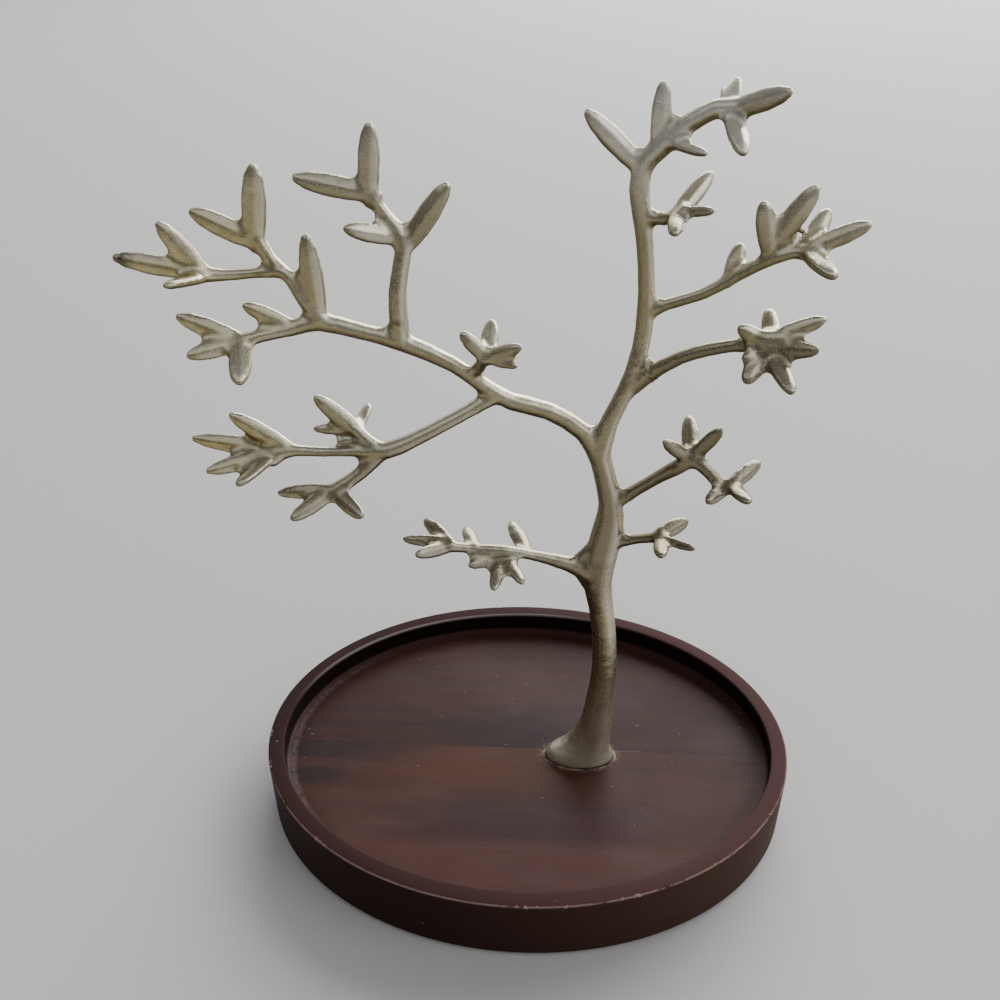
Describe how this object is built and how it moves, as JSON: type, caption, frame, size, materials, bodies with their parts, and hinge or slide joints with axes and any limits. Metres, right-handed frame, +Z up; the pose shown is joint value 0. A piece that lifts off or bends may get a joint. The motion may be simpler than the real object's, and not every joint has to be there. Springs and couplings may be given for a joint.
{
  "type": "jewellery tree",
  "caption": "Cast-metal tree with lance-shaped leaves for hanging jewellery, bolted to an oval rimmed tray of dark stained wood.",
  "frame": {"origin": "centre of the felt pad's underside, on the surface that the object stands on", "axes": "+X along the tray's long axis to the right, +Y to the back, +Z up"},
  "size_m": [0.2512, 0.178, 0.3121],
  "materials": {
    "tree_metal": "cast and brushed, warm champagne tone with darker hollows and burnished tips",
    "tray_wood": "dark mahogany stain under satin lacquer, worn pale along the rim's edges",
    "fixing_steel": "zinc-plated, dull",
    "felt": "pressed felt, matt"
  },
  "bodies": {
    "root": {"felt_pad": "felt", "tray_front_board": "tray_wood", "tray_back_board": "tray_wood", "fixing_bolt": "fixing_steel", "spring_washer": "fixing_steel", "flat_washer": "fixing_steel", "trunk": "tree_metal", "low_left_branch": "tree_metal", "low_right_branch": "tree_metal", "mid_right_branch": "tree_metal", "left_lower_bough": "tree_metal", "left_sprig": "tree_metal", "left_upright_branch": "tree_metal", "left_tip_lower": "tree_metal", "left_tip_upper": "tree_metal", "right_crown": "tree_metal", "right_upper_branch": "tree_metal", "right_sprig": "tree_metal", "right_mid_branch": "tree_metal", "right_rosette": "tree_metal"}
  },
  "joints": []
}
